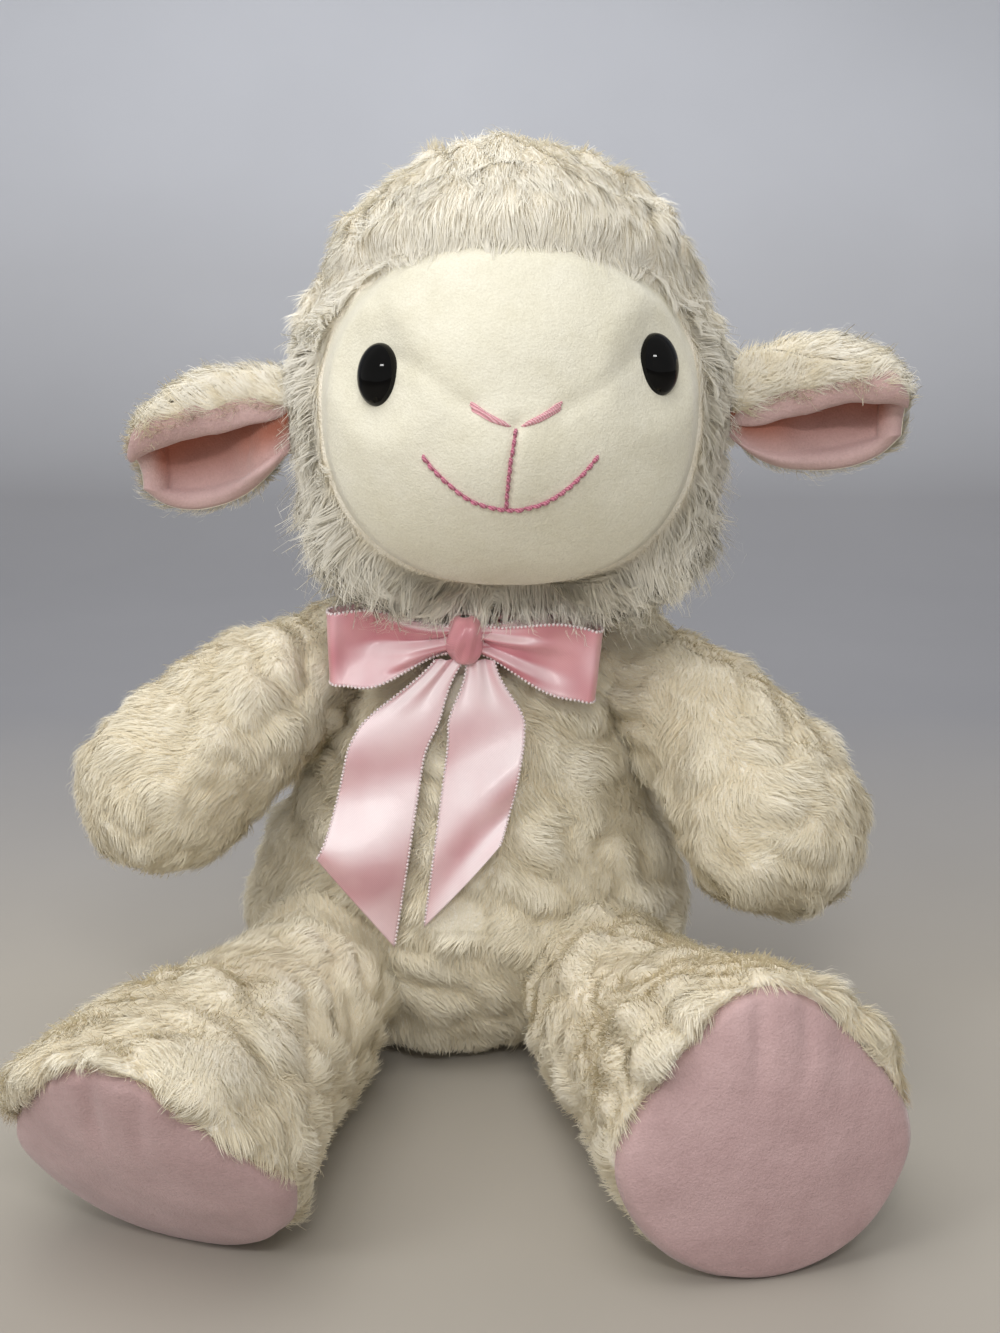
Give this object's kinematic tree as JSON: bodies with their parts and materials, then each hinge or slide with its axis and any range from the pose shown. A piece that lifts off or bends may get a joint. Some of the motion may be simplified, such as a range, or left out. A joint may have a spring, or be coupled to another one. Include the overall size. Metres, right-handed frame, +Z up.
{
  "type": "plush sheep",
  "caption": "Seated plush sheep with a long-pile body, velour face, cupped ears, pink soles and a satin bow.",
  "frame": {"origin": "middle of the flat seat that the toy sits on", "axes": "+Z up; the sheep looks along -Y, and +X is its own left side"},
  "size_m": [0.2619, 0.2477, 0.2918],
  "materials": {
    "fur": "long-pile cream plush fabric, warm ivory",
    "face": "short-napped pale cream velour",
    "pink": "short-napped dusty pink velour",
    "fibre": "loose white polyester fibre",
    "satin": "pink satin ribbon with looped edges",
    "thread": "rose embroidery thread",
    "seam": "turned and stitched edge of the plush fabric",
    "eye": "glossy black",
    "washer": "natural white"
  },
  "bodies": {
    "torso": {"torso_skin": "fur", "torso_stuffing": "fibre", "ribbon_neckband": "satin", "ribbon_knot": "satin", "left_bow_loop": "satin", "right_bow_loop": "satin"},
    "neck_lower": {"neck_hem": "seam"},
    "neck_upper": {"neck_thread": "seam"},
    "head": {"head_hood": "fur", "face_panel": "face", "head_stuffing": "fibre", "left_eye": "eye", "right_eye": "eye", "left_eye_washer": "washer", "right_eye_washer": "washer", "nose_stitch": "thread", "mouth_stitch": "thread"},
    "left_ear": {"left_ear_back": "fur", "left_ear_lining": "pink"},
    "left_shoulder": {"left_shoulder_seam": "seam"},
    "left_arm": {"left_arm_skin": "fur", "left_arm_stuffing": "fibre"},
    "left_hip": {"left_hip_seam": "seam"},
    "left_leg": {"left_leg_skin": "fur", "left_sole": "pink", "left_leg_stuffing": "fibre"},
    "left_tail": {"left_ribbon_tail": "satin"},
    "right_ear": {"right_ear_back": "fur", "right_ear_lining": "pink"},
    "right_shoulder": {"right_shoulder_seam": "seam"},
    "right_arm": {"right_arm_skin": "fur", "right_arm_stuffing": "fibre"},
    "right_hip": {"right_hip_seam": "seam"},
    "right_leg": {"right_leg_skin": "fur", "right_sole": "pink", "right_leg_stuffing": "fibre"},
    "right_tail": {"right_ribbon_tail": "satin"}
  },
  "joints": [
    {"name": "head_turn", "type": "hinge", "parent": "torso", "child": "neck_lower", "pos_m": [0.009, -0.008, 0.1523], "axis": [0, 0, 1], "range_deg": [-30, 30], "stiffness_Nm_per_rad": 0.4},
    {"name": "head_tilt", "type": "hinge", "parent": "neck_lower", "child": "neck_upper", "pos_m": [0.009, -0.008, 0.1523], "axis": [0, 1, 0], "range_deg": [-8, 8], "stiffness_Nm_per_rad": 1.4},
    {"name": "head_nod", "type": "hinge", "parent": "neck_upper", "child": "head", "pos_m": [0.009, -0.008, 0.1523], "axis": [1, 0, 0], "range_deg": [-15, 6], "stiffness_Nm_per_rad": 1.4},
    {"name": "left_ear_flap", "type": "hinge", "parent": "head", "child": "left_ear", "pos_m": [0.08524, -0.02702, 0.21874], "axis": [0, 0, -1], "range_deg": [-20, 35], "stiffness_Nm_per_rad": 0.02},
    {"name": "left_arm_swing", "type": "hinge", "parent": "torso", "child": "left_shoulder", "pos_m": [0.05346, -0.00463, 0.126], "axis": [-1, 0, 0], "range_deg": [-10, 20], "stiffness_Nm_per_rad": 0.5},
    {"name": "left_arm_lift", "type": "hinge", "parent": "left_shoulder", "child": "left_arm", "pos_m": [0.05346, -0.00463, 0.126], "axis": [0, -1, 0], "range_deg": [-6, 24], "stiffness_Nm_per_rad": 0.5},
    {"name": "left_leg_splay", "type": "hinge", "parent": "torso", "child": "left_hip", "pos_m": [0.042, -0.043, 0.033], "axis": [0, 0, 1], "range_deg": [-8, 20], "stiffness_Nm_per_rad": 0.9},
    {"name": "left_leg_lift", "type": "hinge", "parent": "left_hip", "child": "left_leg", "pos_m": [0.042, -0.043, 0.033], "axis": [-1, 0, 0], "range_deg": [-20, 20], "stiffness_Nm_per_rad": 0.9},
    {"name": "left_tail_swing", "type": "hinge", "parent": "torso", "child": "left_tail", "pos_m": [0.0078, -0.04698, 0.1359], "axis": [-1, 0, 0], "range_deg": [0, 60]},
    {"name": "right_ear_flap", "type": "hinge", "parent": "head", "child": "right_ear", "pos_m": [-0.05108, -0.02702, 0.21472], "axis": [0, 0, 1], "range_deg": [-20, 35], "stiffness_Nm_per_rad": 0.02},
    {"name": "right_arm_swing", "type": "hinge", "parent": "torso", "child": "right_shoulder", "pos_m": [-0.03854, -0.00463, 0.126], "axis": [-1, 0, 0], "range_deg": [-10, 20], "stiffness_Nm_per_rad": 0.5},
    {"name": "right_arm_lift", "type": "hinge", "parent": "right_shoulder", "child": "right_arm", "pos_m": [-0.03854, -0.00463, 0.126], "axis": [0, 1, 0], "range_deg": [-6, 24], "stiffness_Nm_per_rad": 0.5},
    {"name": "right_leg_splay", "type": "hinge", "parent": "torso", "child": "right_hip", "pos_m": [-0.042, -0.043, 0.033], "axis": [0, 0, -1], "range_deg": [-8, 20], "stiffness_Nm_per_rad": 0.9},
    {"name": "right_leg_lift", "type": "hinge", "parent": "right_hip", "child": "right_leg", "pos_m": [-0.042, -0.043, 0.033], "axis": [-1, 0, 0], "range_deg": [-20, 20], "stiffness_Nm_per_rad": 0.9},
    {"name": "right_tail_swing", "type": "hinge", "parent": "torso", "child": "right_tail", "pos_m": [-0.0018, -0.04698, 0.1359], "axis": [-1, 0, 0], "range_deg": [0, 60]}
  ]
}
